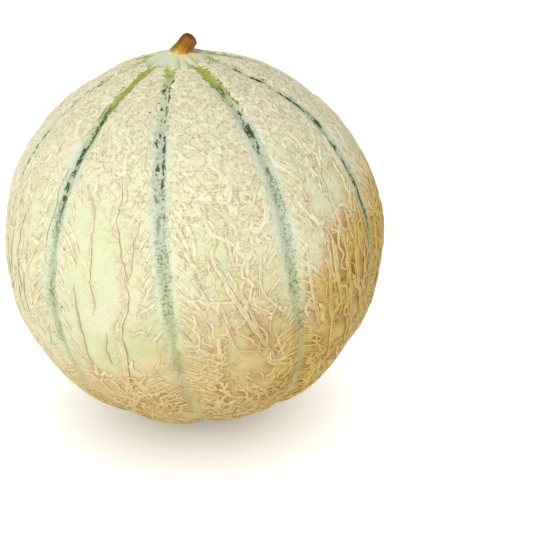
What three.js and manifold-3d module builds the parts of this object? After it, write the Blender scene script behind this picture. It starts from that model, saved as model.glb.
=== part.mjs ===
// A netted cantaloupe melon with the stub of its stem, standing on a small flat spot.
// Millimetres, +Z up. The origin is the centre of the flat spot, on the surface the melon stands on.
import * as THREE from "three";
import { mergeVertices } from "three/addons/utils/BufferGeometryUtils.js";
import Module from "manifold-3d";

// Driving dimensions of the fruit.
const equatorRadius = 75; // to the crests of the lobes
const poleRadius = 74.2; // centre to pole, a little less than the equator
const restDepth = 1.6; // how much of the underside the flat spot takes away
const leanDegrees = 4; // the growth axis leans this far towards -X

// The sutures are the shallow grooves that run from pole to pole between the lobes.
const sutureCount = 10;
const sutureDepth = 1.5;
const sutureFadeDegrees = 34; // nearer a pole than this, the grooves get shallower
const firstSutureDegrees = -96.7; // longitude of one suture, from +X towards +Y
const lobeSwing = 0.022; // radians that a longitude may swing, so that the lobes differ in width
const lobeSwingDegrees = 63; // where in its wave the swing starts

// The crown is the low, flat-topped rise that the stem grows out of.
const crownRise = 1.1;
const crownRadius = 15;
const stemSeatRadius = 8;

// Driving dimensions of the stem.
const stemHeight = 7.6; // along the growth axis
const stemFootOffset = 1.7; // from the growth axis to the middle of its foot
const stemReach = 3.9; // how much further its cut end stands out
const stemReachDegrees = -18; // longitude that it leans towards
const stemFootRadius = 5.4;
const stemTipRadius = 3;
const stemTaper = 1.7; // power by which the flared foot narrows
const stemKnob = 0.25; // swelling just below the cut end
const stemRibs = 5;
const stemRibDepth = 0.05; // share of the radius
const stemEndHollow = 0.6; // the dried cut end is dished this deep
const growthGap = 0.3; // between the stem's foot and the fruit

// Facets.
const segmentsPerLobe = 8;
const ringsPoleToPole = 36;
const stemSegments = 30;
const stemRings = 14;

const centreHeight = poleRadius - restDepth;
const seatLatitude = Math.acos(stemSeatRadius / equatorRadius);
const seatHeight = poleRadius * Math.sin(seatLatitude) + riseAt(stemSeatRadius);

// How much the crown lifts the surface at a distance from the growth axis.
function riseAt(radius) {
  return crownRise * Math.exp(-((radius / crownRadius) ** 2));
}

// Distance from a longitude to the nearest suture, as 0 on a suture and 1 on a lobe's crest.
function shareOfHalfLobe(longitude) {
  const lobe = (2 * Math.PI) / sutureCount;
  const first = THREE.MathUtils.degToRad(firstSutureDegrees);
  const past = THREE.MathUtils.euclideanModulo(longitude - first, lobe);
  return Math.min(past, lobe - past) / (lobe / 2);
}

// Lobes of slightly different width: every longitude swings a little about its even place.
function swungLongitude(longitude) {
  return longitude + lobeSwing * Math.sin(longitude + THREE.MathUtils.degToRad(lobeSwingDegrees));
}

// Half of the fruit's outline, from the blossom pole up to the flat seat of the stem.
function fruitOutline() {
  const outline = [];
  for (let ring = 0; ring <= ringsPoleToPole; ring++) {
    const latitude = Math.PI * (ring / ringsPoleToPole - 0.5);
    const atPole = ring === 0 || ring === ringsPoleToPole;
    const radius = atPole ? 0 : equatorRadius * Math.cos(latitude);
    const rise = latitude > 0 ? riseAt(radius) : 0;
    const height = poleRadius * Math.sin(latitude) + rise;
    outline.push(new THREE.Vector2(radius, Math.min(height, seatHeight)));
  }
  return outline;
}

// Moves every vertex of a geometry to the place that a function works out for it.
function reshape(geometry, place) {
  const positions = geometry.getAttribute("position");
  const point = new THREE.Vector3();
  for (let i = 0; i < positions.count; i++) {
    point.fromBufferAttribute(positions, i);
    place(point);
    positions.setXYZ(i, point.x, point.y, point.z);
  }
  return geometry;
}

// The whole fruit about its centre, with its growth axis along Z.
function lobedBody() {
  const segments = sutureCount * segmentsPerLobe;
  const startAngle = THREE.MathUtils.degToRad(firstSutureDegrees + 90);
  const body = new THREE.LatheGeometry(fruitOutline(), segments, startAngle);
  body.rotateX(Math.PI / 2);
  const fade = THREE.MathUtils.degToRad(sutureFadeDegrees);
  return reshape(body, (point) => {
    const radius = Math.hypot(point.x, point.y);
    if (radius < stemSeatRadius && point.z > 0) return;
    const longitude = Math.atan2(point.y, point.x);
    const fromPole = Math.atan2(radius, Math.abs(point.z));
    const strength = THREE.MathUtils.smoothstep(fromPole, 0, fade);
    const depth = sutureDepth * strength * (1 - shareOfHalfLobe(longitude)) ** 2;
    const swung = swungLongitude(longitude);
    point.set(radius * Math.cos(swung), radius * Math.sin(swung), point.z);
    point.multiplyScalar(1 - depth / equatorRadius);
  });
}

// Half of the straight stem's outline, from the middle of its foot to its dished cut end.
function stemOutline() {
  const outline = [new THREE.Vector2(0, 0)];
  for (let ring = 0; ring <= stemRings; ring++) {
    const along = ring / stemRings;
    const flare = (stemFootRadius - stemTipRadius) * (1 - along) ** stemTaper;
    const knob = stemKnob * Math.exp(-(((along - 0.86) / 0.12) ** 2));
    outline.push(new THREE.Vector2(stemTipRadius + flare + knob, along * stemHeight));
  }
  outline.push(new THREE.Vector2(0.72 * stemTipRadius, stemHeight + 0.35));
  outline.push(new THREE.Vector2(0, stemHeight - stemEndHollow));
  return outline;
}

// The stem: ribbed, then carried along a curve that starts upright and ends leaning outwards.
function leaningStem() {
  const stem = new THREE.LatheGeometry(stemOutline(), stemSegments);
  stem.rotateX(Math.PI / 2);
  const route = new THREE.QuadraticBezierCurve3(
    new THREE.Vector3(0, 0, 0),
    new THREE.Vector3(0, 0, stemHeight / 4),
    new THREE.Vector3(stemReach, 0, stemHeight),
  );
  reshape(stem, (point) => {
    const along = point.z / stemHeight;
    const centre = route.getPoint(along);
    const heading = route.getTangent(Math.min(along, 1));
    const rib = 1 + stemRibDepth * Math.cos(stemRibs * Math.atan2(point.y, point.x));
    const outwards = rib * point.x;
    point.set(centre.x + outwards * heading.z, rib * point.y, centre.z - outwards * heading.x);
  });
  stem.translate(stemFootOffset, 0, 0);
  return stem.rotateZ(THREE.MathUtils.degToRad(stemReachDegrees));
}

const wasm = await Module();
wasm.setup();

// A closed geometry as a solid for cutting.
function solidOf(geometry) {
  const bare = new THREE.BufferGeometry();
  bare.setAttribute("position", geometry.getAttribute("position"));
  bare.setIndex(geometry.getIndex());
  const merged = mergeVertices(bare, 1e-3);
  const mesh = new wasm.Mesh({
    numProp: 3,
    vertProperties: merged.getAttribute("position").array,
    triVerts: new Uint32Array(merged.getIndex().array),
  });
  return new wasm.Manifold(mesh);
}

// A solid as a geometry again.
function geometryOf(solid) {
  const mesh = solid.getMesh();
  const geometry = new THREE.BufferGeometry();
  geometry.setAttribute("position", new THREE.BufferAttribute(mesh.vertProperties, 3));
  geometry.setIndex(new THREE.BufferAttribute(mesh.triVerts, 1));
  geometry.computeVertexNormals();
  return geometry;
}

// Everything below the surface that the melon stands on, in the frame of the leaning fruit.
function groundFor(frame) {
  const side = 2 * equatorRadius;
  const ground = new THREE.BoxGeometry(side, side, side);
  ground.translate(0, 0, -side / 2);
  return ground.applyMatrix4(frame.matrix.clone().invert());
}

// The growth frame: its origin is the fruit's centre and its Z runs from blossom end to stem.
const growth = new THREE.Group();
growth.position.set(0, 0, centreHeight);
growth.rotation.y = -THREE.MathUtils.degToRad(leanDegrees);
growth.updateMatrix();

const rind = new THREE.MeshStandardMaterial({ color: 0xe2d9ab, roughness: 0.62, metalness: 0 });
const driedStem = new THREE.MeshStandardMaterial({ color: 0x94703a, roughness: 0.8, metalness: 0 });

const standingFruit = solidOf(lobedBody()).subtract(solidOf(groundFor(growth)));
const fruit = new THREE.Mesh(geometryOf(standingFruit), rind);
fruit.name = "fruit";
growth.add(fruit);

const stem = new THREE.Mesh(leaningStem(), driedStem);
stem.name = "stem";
stem.position.z = seatHeight + growthGap;
growth.add(stem);

const melon = new THREE.Group();
melon.add(growth);

export default melon;
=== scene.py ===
"""A netted cantaloupe melon: rind with green sutures, raised cork net and dried stem stub.

Metres, +Z up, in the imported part's own frame. The fruit's surface is worked out in two angles:
longitude, round the growth axis, and fall, the angle down from the crown. Distances on it are
measured across and along the sutures, the ten shallow grooves between its lobes.
"""

import logging
import math
from dataclasses import dataclass, field
from enum import Enum
from typing import Any

import bpy
import numpy as np
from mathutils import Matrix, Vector
from numpy.typing import NDArray


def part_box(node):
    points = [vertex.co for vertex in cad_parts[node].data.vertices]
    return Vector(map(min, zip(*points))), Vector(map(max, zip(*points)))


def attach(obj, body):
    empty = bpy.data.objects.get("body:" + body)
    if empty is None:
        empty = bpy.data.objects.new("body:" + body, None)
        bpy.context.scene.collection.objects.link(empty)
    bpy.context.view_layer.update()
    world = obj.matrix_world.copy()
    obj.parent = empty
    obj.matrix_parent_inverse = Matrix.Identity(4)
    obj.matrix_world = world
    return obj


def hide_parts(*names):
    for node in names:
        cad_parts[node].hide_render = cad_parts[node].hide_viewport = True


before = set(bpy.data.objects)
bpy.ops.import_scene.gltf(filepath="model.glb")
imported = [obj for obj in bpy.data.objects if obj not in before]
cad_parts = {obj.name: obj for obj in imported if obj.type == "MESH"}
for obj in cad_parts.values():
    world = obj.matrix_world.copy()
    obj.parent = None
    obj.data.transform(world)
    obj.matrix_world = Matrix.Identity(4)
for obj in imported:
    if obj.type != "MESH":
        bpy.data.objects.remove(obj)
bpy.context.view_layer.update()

logging.basicConfig(level=logging.INFO, format="%(message)s")
LOG = logging.getLogger("melon")

Array = NDArray[np.float64]
Colour = tuple[float, float, float]
MM = 0.001
BODY = "root"


def tint(red: float, green: float, blue: float) -> Colour:
    """A colour from its display values, 0 to 255, as the linear values that shaders take.

    Formula: each channel c = value / 255 becomes ((c + 0.055) / 1.055) ** 2.4.

    Args:
        red: Red as displayed.
        green: Green as displayed.
        blue: Blue as displayed.

    Returns:
        The linear colour.
    """
    return tuple(((c / 255 + 0.055) / 1.055) ** 2.4 for c in (red, green, blue))


def smooth_step(values: Array, start: float, end: float) -> Array:
    """A smooth rise from 0 to 1.

    Formula: t = (value - start) / (end - start), held to 0..1, then 3 t^2 - 2 t^3.

    Args:
        values: Where to work it out.
        start: The value at which it is 0.
        end: The value at which it is 1.

    Returns:
        The rise at each value.
    """
    share = np.clip((values - start) / (end - start), 0.0, 1.0)
    return share * share * (3.0 - 2.0 * share)


def waves(rng: np.random.Generator, places: Array, size: float, count: int = 7) -> Array:
    """Smooth noise of about -1 to 1, as a sum of sine waves with random headings.

    Formula: the sum over the waves of sin(2 pi place . heading / length + phase), times
    the square root of 2 / count.

    Args:
        rng: Source of the headings, lengths and phases.
        places: Points, with their coordinates on the last axis.
        size: Mean wave length, in the points' unit.
        count: How many waves are summed.

    Returns:
        One value per point.
    """
    headings = rng.normal(size=(count, places.shape[-1]))
    headings /= np.linalg.norm(headings, axis=1, keepdims=True)
    lengths = size * rng.uniform(0.65, 1.5, (count, 1))
    phases = rng.uniform(0.0, 2.0 * math.pi, count)
    angles = places @ (2.0 * math.pi * headings / lengths).T + phases
    return np.sin(angles).sum(-1) * math.sqrt(2.0 / count) * 0.7


def unit(vectors: Array) -> Array:
    """Vectors brought to length 1."""
    return vectors / np.maximum(np.linalg.norm(vectors, axis=-1, keepdims=True), 1e-12)


@dataclass
class Mesh:
    """A surface as whole arrays: its vertices, its faces and what is painted on them."""

    vertices: Array
    corners: NDArray[np.int64]
    face_sizes: NDArray[np.int64]
    corner_uv: Array
    marks: dict[str, Array] = field(default_factory=dict)

    @staticmethod
    def closed(grid: Array, tips: Array, v: Array, upwards: bool, marks: dict[str, tuple]) -> "Mesh":
        """A grid wrapped round into a tube and closed by a fan to a tip at either end.

        Formula: quads between neighbouring rows and columns, the last column joined to the
        first, and triangles from each end row to its tip; all of them face outwards.

        Args:
            grid: Points of the tube, as rows x columns x coordinates.
            tips: The point before its first row and the one after its last.
            v: Each row's place up the bake map.
            upwards: Whether its rows run up, where its columns turn anticlockwise as seen from above.
            marks: For each mark its values on the grid, and its values on both tips.

        Returns:
            The surface.
        """
        rows, columns = grid.shape[:2]
        corner = np.arange(rows * columns).reshape(rows, columns)
        after = np.roll(corner, -1, axis=1)
        first = np.full(columns, rows * columns)
        quads = np.stack([corner[:-1], corner[1:], after[1:], after[:-1]], -1).reshape(-1, 4)
        fans = [np.stack([first, corner[0], after[0]], -1), np.stack([first + 1, after[-1], corner[-1]], -1)]
        u = np.arange(columns + 1) / columns
        middle = (u[1:] + u[:-1]) / 2
        near, far = (0.0, 1.0) if upwards else (1.0, 0.0)
        map_grid = np.stack(np.meshgrid(u, v), -1)
        left, right = map_grid[:, :-1], map_grid[:, 1:]
        quad_uv = np.stack([left[:-1], left[1:], right[1:], right[:-1]], 2).reshape(-1, 4, 2)
        near_tip = np.stack([middle, np.full(columns, near)], -1)
        far_tip = np.stack([middle, np.full(columns, far)], -1)
        fan_uv = [np.stack([near_tip, left[0], right[0]], 1), np.stack([far_tip, right[-1], left[-1]], 1)]
        if upwards:
            quads, quad_uv = quads[:, [0, 3, 2, 1]], quad_uv[:, [0, 3, 2, 1]]
            fans, fan_uv = [fan[:, [0, 2, 1]] for fan in fans], [part[:, [0, 2, 1]] for part in fan_uv]
        return Mesh(
            np.concatenate([grid.reshape(-1, 3), tips]),
            np.concatenate([part.ravel() for part in (quads, *fans)]),
            np.repeat([4, 3], [len(quads), 2 * columns]),
            np.concatenate([part.reshape(-1, 2) for part in (quad_uv, *fan_uv)]),
            {name: np.append(values.ravel(), ends) for name, (values, ends) in marks.items()},
        )

    @staticmethod
    def joined(parts: list["Mesh"]) -> "Mesh":
        """Several surfaces as one.

        Args:
            parts: The surfaces, which all carry the same marks.

        Returns:
            One surface that holds them all, in their order.
        """
        starts = np.cumsum([0] + [len(part.vertices) for part in parts[:-1]])
        return Mesh(
            np.concatenate([part.vertices for part in parts]),
            np.concatenate([part.corners + s for part, s in zip(parts, starts)]),
            np.concatenate([part.face_sizes for part in parts]),
            np.concatenate([part.corner_uv for part in parts]),
            {k: np.concatenate([part.marks[k] for part in parts]) for k in parts[0].marks},
        )

    def piece(self, name: str, material: bpy.types.Material) -> bpy.types.Object:
        """Puts the surface into the scene, at the origin, and lets it ride on the melon.

        Args:
            name: The piece's name.
            material: What it is dressed in.

        Returns:
            The new object.
        """
        data = bpy.data.meshes.new(name)
        data.vertices.add(len(self.vertices))
        data.vertices.foreach_set("co", self.vertices.astype(np.float32).ravel())
        data.loops.add(len(self.corners))
        data.loops.foreach_set("vertex_index", self.corners.astype(np.int32))
        starts = np.cumsum(self.face_sizes) - self.face_sizes
        data.polygons.add(len(self.face_sizes))
        data.polygons.foreach_set("loop_start", starts.astype(np.int32))
        data.polygons.foreach_set("use_smooth", np.ones(len(starts), bool))
        layer = data.uv_layers.new(name="OFBake")
        layer.uv.foreach_set("vector", self.corner_uv.astype(np.float32).ravel())
        for mark, values in self.marks.items():
            store = data.attributes.new(mark, "FLOAT", "POINT")
            store.data.foreach_set("value", values.astype(np.float32).ravel())
        data.update(calc_edges=True)
        data.validate()
        data.materials.append(material)
        made = bpy.data.objects.new(name, data)
        bpy.context.scene.collection.objects.link(made)
        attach(made, BODY)
        triangles = int((self.face_sizes - 2).sum())
        LOG.info("%s: %d triangles", name, triangles)
        return made


@dataclass(frozen=True)
class Growth:
    """The fruit's own frame: its centre, and an axis from blossom end to stem that leans to -X."""

    equator: float
    pole: float
    centre: float
    lean: float = math.radians(4)
    stem_aside: float = 1.7 * MM
    stem_towards: float = math.radians(-18)

    @classmethod
    def of_fruit(cls) -> "Growth":
        """The frame of the fruit as packed.

        Formula: no lobe's crest points straight along Y, so the equator is 1.003 times half
        of the box's depth; the pole is 0.989 of the equator, and the flat spot takes 0.0213
        of it away.

        Returns:
            The growth frame.
        """
        low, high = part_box("fruit")
        equator = 1.003 * (high.y - low.y) / 2
        pole = 0.989 * equator
        return cls(equator, pole, pole - 0.0213 * equator)

    def to_row(self, points: Array) -> Array:
        """Points of the growth frame in the part's frame.

        Formula: a turn by the lean about Y, then a lift by the centre's height.

        Args:
            points: Points with x, y, z on the last axis.

        Returns:
            The same points, leaning and lifted.
        """
        x, y, z = np.moveaxis(points, -1, 0)
        cos, sin = math.cos(self.lean), math.sin(self.lean)
        return np.stack([x * cos - z * sin, y, x * sin + z * cos + self.centre], -1)


@dataclass(frozen=True)
class Sutures:
    """The ten grooves from crown to blossom end, as longitudes that wander a little."""

    growth: Growth
    count: int = 10
    first: float = math.radians(-96.7)
    swing: float = 0.022
    swing_start: float = math.radians(63)
    wander: float = 1.4 * MM
    rates: tuple[float, ...] = (1.6, 3.1, 3.1, 2.2, 2.8, 1.9, 2.5, 3.0, 2.1, 2.6)
    phases: tuple[float, ...] = (-2.6, 0.0, -0.5, 1.0, 2.2, 0.4, 3.0, 1.6, 5.0, 0.3)
    swirl: float = math.radians(3.5)
    strays: tuple[float, ...] = (0, 0.06, 0, 0, 0.03, 0, 0, -0.03, 0, 0)  # own turn low down, radians
    lime_reach: tuple[float, ...] = (22, 34, 15, 40, 24, 36, 28, 44, 14, 44)  # mm from the crown
    mark_reach: tuple[float, ...] = (92, 84, 128, 90, 76, 104, 84, 96, 120, 98)  # mm from the crown

    @property
    def step(self) -> float:
        """The even angle between two sutures."""
        return 2.0 * math.pi / self.count

    def longitude(self, index: Array, fall: Array) -> Array:
        """Where a suture runs.

        Formula: its even place, plus a swing of the sine of that place, plus a slow wander
        of sin(rate x fall + phase) down its length, plus, low down, a swirl that all share
        and a turn of its own.

        Args:
            index: Which suture, counted from the first towards +Y.
            fall: Angle down from the crown.

        Returns:
            The longitude of the groove there.
        """
        even = self.first + self.step * index
        own = np.mod(index, self.count).astype(int)
        rate, phase = np.take(self.rates, own), np.take(self.phases, own)
        drift = self.wander / self.growth.equator * np.sin(rate * fall + phase)
        shared = self.swirl * smooth_step(fall, 1.8, 2.8)
        own_turn = np.take(self.strays, own) * smooth_step(fall, 1.35, 2.2)
        low = shared + own_turn
        return even + self.swing * np.sin(even + self.swing_start) + drift + low

    def nearest(self, longitude: Array, fall: Array) -> tuple[Array, Array]:
        """The nearest suture to each place.

        Formula: across is equator x sin(fall) x the wrapped difference of longitudes.

        Args:
            longitude: Longitude of the places.
            fall: Their fall.

        Returns:
            Signed distance across it, and its index from 0 to 9.
        """
        index = np.round((longitude - self.first) / self.step)
        gap = longitude - self.longitude(index, fall)
        return self.growth.equator * np.sin(fall) * gap, np.mod(index, self.count)

    def half_lobe(self, fall: Array) -> Array:
        """Half of a lobe's width at a fall, from suture to suture."""
        return self.growth.equator * np.sin(fall) * self.step / 2


@dataclass(frozen=True)
class Skin:
    """The smooth skin of the fruit under its net."""

    growth: Growth
    sutures: Sutures
    lobe_depth: float = 1.0 * MM
    furrow_depth: float = 0.75 * MM
    furrow_half_width: float = 2.9 * MM
    crown_rise: float = 1.1 * MM
    crown_radius: float = 15 * MM
    collar_rise: float = 0.7 * MM
    collar_radius: float = 6.4 * MM
    spoke_rise: float = 0.5 * MM
    roll: float = 0.3 * MM
    seed: int = 11

    def point(self, longitude: Array, fall: Array) -> Array:
        """Points on the skin, in the part's frame.

        Formula: an ellipsoid, lifted near the stem by a bell curve of the distance from the
        axis and one of the distance from the stem's foot, with ten low spokes and a dent at
        the blossom end; shrunk towards its centre by the lobes' valleys,
        (1 - share of the half lobe)^2, by the furrow, exp(-(across / width)^2), and by a
        gentle roll of waves; then softly flattened where it would go below the ground.

        Args:
            longitude: Longitude of the points.
            fall: Their fall.

        Returns:
            The points, with x, y, z on the last axis.
        """
        growth = self.growth
        radius = growth.equator * np.sin(fall)
        height = growth.pole * np.cos(fall)
        across, _ = self.sutures.nearest(longitude, fall)
        share = np.abs(across) / np.maximum(self.sutures.half_lobe(fall), 0.1 * MM)
        from_pole = np.minimum(fall, math.pi - fall)
        valley = self.lobe_depth * np.clip(1.0 - share, 0.0, 1.0) ** 2
        furrow = self.furrow_depth * np.exp(-((across / self.furrow_half_width) ** 2))
        fade = smooth_step(from_pole, 0.0, 0.6)
        opened = smooth_step(radius, 12 * MM, 26 * MM)
        round_x = np.cos(longitude) * radius
        round_y = np.sin(longitude) * radius
        ball = np.stack([round_x, round_y, height], -1)
        rng = np.random.default_rng(self.seed)
        rolling = self.roll * waves(rng, ball, 34 * MM) * smooth_step(from_pole, 0.1, 0.4)
        dents = 0.07 * MM * waves(rng, ball, 7 * MM)
        shrink = 1.0 - (valley * fade + furrow * opened + rolling + dents) / growth.equator
        lift = self.crown_rise * np.exp(-((radius / self.crown_radius) ** 2))
        collar = self.from_stem(longitude, fall) / self.collar_radius
        lift += self.collar_rise * np.exp(-(collar**2))
        spoke = np.exp(-((across / (1.5 * MM)) ** 2)) * np.exp(-(((radius - 9 * MM) / (5 * MM)) ** 2))
        lift = np.where(fall < math.pi / 2, lift + self.spoke_rise * spoke, 0.0)
        scar = np.where(fall > math.pi / 2, 0.8 * MM * np.exp(-((radius / (4 * MM)) ** 2)), 0.0)
        placed = np.stack([round_x * shrink, round_y * shrink, (height + lift + scar) * shrink], -1)
        return self.flattened(growth.to_row(placed))

    def from_stem(self, longitude: Array, fall: Array, right: float = 0.0, back: float = 0.0) -> Array:
        """Level distance of places from the stem's foot.

        Args:
            longitude: Longitude of the places.
            fall: Their fall.
            right: How far towards +X of the foot the distance is measured from.
            back: How far towards +Y of it.

        Returns:
            One distance for each place.
        """
        growth = self.growth
        radius = growth.equator * np.sin(fall)
        x = radius * np.cos(longitude) - growth.stem_aside * math.cos(growth.stem_towards) - right
        y = radius * np.sin(longitude) - growth.stem_aside * math.sin(growth.stem_towards) - back
        return np.hypot(x, y)

    @staticmethod
    def flattened(points: Array, softness: float = 0.7 * MM) -> Array:
        """Points kept above the ground.

        Formula: z becomes (z + sqrt(z^2 + softness^2)) / 2, less a small share of the
        softness that dies away from the ground.

        Args:
            points: Points with x, y, z on the last axis.
            softness: How gently the flat spot ends.

        Returns:
            The points, none of them below the ground.
        """
        z = points[..., 2]
        lifted = (z + np.sqrt(z * z + softness**2)) / 2 - softness / 8 * np.exp(-np.abs(z) / softness)
        return np.concatenate([points[..., :2], lifted[..., None]], -1)

    def normal(self, longitude: Array, fall: Array) -> Array:
        """Outward normals of the skin.

        Formula: the cross product of a short step down the fruit and one round it.

        Args:
            longitude: Longitude of the points.
            fall: Their fall.

        Returns:
            Unit vectors.
        """
        step = 0.3 * MM / self.growth.equator
        round_step = step / np.maximum(np.sin(fall), 0.02)
        down = self.point(longitude, fall + step) - self.point(longitude, fall - step)
        sideways = self.point(longitude + round_step, fall) - self.point(longitude - round_step, fall)
        return unit(np.cross(down, sideways))


class Bench:
    """A material under construction, with short calls for the nodes that the finishes use."""

    def __init__(self, name: str) -> None:
        """Starts an empty material.

        Args:
            name: The material's name.
        """
        self.material = bpy.data.materials.new(name)
        self.material.use_nodes = True
        self.tree = self.material.node_tree
        self.tree.nodes.clear()

    def node(self, kind: str, inputs: dict[Any, Any], **settings: Any) -> bpy.types.Node:
        """Adds a node.

        Args:
            kind: The node's type.
            inputs: Socket name or number to a value, or to the socket that feeds it.
            **settings: Properties of the node.

        Returns:
            The node.
        """
        made = self.tree.nodes.new(kind)
        for key, value in settings.items():
            setattr(made, key, value)
        for key, value in inputs.items():
            if isinstance(value, bpy.types.NodeSocket):
                self.tree.links.new(value, made.inputs[key])
            elif isinstance(value, tuple) and len(value) == 3 and made.inputs[key].type == "RGBA":
                made.inputs[key].default_value = (*value, 1.0)
            else:
                made.inputs[key].default_value = value
        return made

    def mark(self, name: str) -> bpy.types.NodeSocket:
        """A value painted on the mesh."""
        return self.node("ShaderNodeAttribute", {}, attribute_name=name).outputs["Fac"]

    def place(self) -> bpy.types.NodeSocket:
        """Object coordinates, in metres."""
        return self.node("ShaderNodeTexCoord", {}).outputs["Object"]

    def axis(self, x: float, y: float, z: float) -> bpy.types.NodeSocket:
        """How far the place lies along a heading, in metres."""
        settings = {0: self.place(), 1: Vector((x, y, z)).normalized()}
        return self.node("ShaderNodeVectorMath", settings, operation="DOT_PRODUCT").outputs["Value"]

    def vector(self, x: Any, y: Any, z: Any) -> bpy.types.NodeSocket:
        """Three numbers as one vector."""
        return self.node("ShaderNodeCombineXYZ", {0: x, 1: y, 2: z}).outputs[0]

    def number(self, operation: str, *values: Any) -> bpy.types.NodeSocket:
        """Arithmetic on numbers."""
        inputs = dict(enumerate(values))
        return self.node("ShaderNodeMath", inputs, operation=operation).outputs[0]

    def scaled(self, value: Any, factor: Any, offset: Any) -> bpy.types.NodeSocket:
        """A value times a factor, plus an offset."""
        return self.number("MULTIPLY_ADD", value, factor, offset)

    def plus(self, first: Any, second: Any) -> bpy.types.NodeSocket:
        """The sum of two values."""
        return self.number("ADD", first, second)

    def on_suture(self, index: int) -> bpy.types.NodeSocket:
        """1 on the half lobes beside one suture, 0 elsewhere."""
        return self.number("COMPARE", self.mark("suture"), float(index), 0.3)

    def rise(self, value: Any, start: float, end: float, top: float = 1.0) -> bpy.types.NodeSocket:
        """A smooth rise from 0 to a top.

        Args:
            value: What it depends on.
            start: The value at which it is 0.
            end: The value at which it reaches the top.
            top: The most that it reaches.

        Returns:
            The rise.
        """
        inputs = {"Value": value, "From Min": start, "From Max": end, "To Min": 0.0, "To Max": top}
        made = self.node("ShaderNodeMapRange", inputs, interpolation_type="SMOOTHSTEP")
        return made.outputs["Result"]

    def product(self, *values: Any) -> bpy.types.NodeSocket:
        """Values multiplied.

        Args:
            *values: The values.

        Returns:
            Their product.
        """
        total = values[0]
        for value in values[1:]:
            total = self.number("MULTIPLY", total, value)
        return total

    def blend(self, share: Any, first: Any, second: Any, how: str = "MIX") -> bpy.types.NodeSocket:
        """Two colours blended.

        Args:
            share: How much of the second is taken.
            first: The first colour.
            second: The second colour.
            how: The way of blending, as the node names it.

        Returns:
            The blend.
        """
        inputs = {0: share, 6: first, 7: second}
        made = self.node("ShaderNodeMix", inputs, data_type="RGBA", blend_type=how)
        return made.outputs[2]

    def noise(self, place: Any, size: float, detail: float = 2.0, rough: float = 0.5) -> Any:
        """Cloudy noise from 0 to 1 with blots of a size, in the place's unit."""
        inputs = {"Vector": place, "Scale": 1.0 / size, "Detail": detail, "Roughness": rough}
        return self.node("ShaderNodeTexNoise", inputs).outputs["Fac"]

    def cells(self, place: Any, size: float) -> tuple[Any, Any]:
        """Random cells.

        Args:
            place: Where they are looked up.
            size: Their size, in the place's unit.

        Returns:
            The distance from a cell's centre, and a value of the cell's own.
        """
        made = self.node("ShaderNodeTexVoronoi", {"Vector": place, "Scale": 1.0 / size})
        own = self.node("ShaderNodeSeparateColor", {0: made.outputs["Color"]}).outputs[0]
        return made.outputs["Distance"], own

    def bump(self, height: Any, depth: float, under: Any = None) -> bpy.types.NodeSocket:
        """A fine relief.

        Args:
            height: Its height, 0 to 1.
            depth: What a height of 1 stands for, in metres.
            under: The normal of a relief that it lies on.

        Returns:
            Its normal.
        """
        inputs = {"Height": height, "Distance": depth, "Strength": 1.0}
        if under is not None:
            inputs["Normal"] = under
        return self.node("ShaderNodeBump", inputs).outputs["Normal"]

    def surface(self, inputs: dict[str, Any]) -> bpy.types.Material:
        """Ends the material with its shader.

        Args:
            inputs: The shader's sockets.

        Returns:
            The finished material.
        """
        shader = self.node("ShaderNodeBsdfPrincipled", inputs)
        self.node("ShaderNodeOutputMaterial", {"Surface": shader.outputs[0]})
        return self.material


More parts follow.
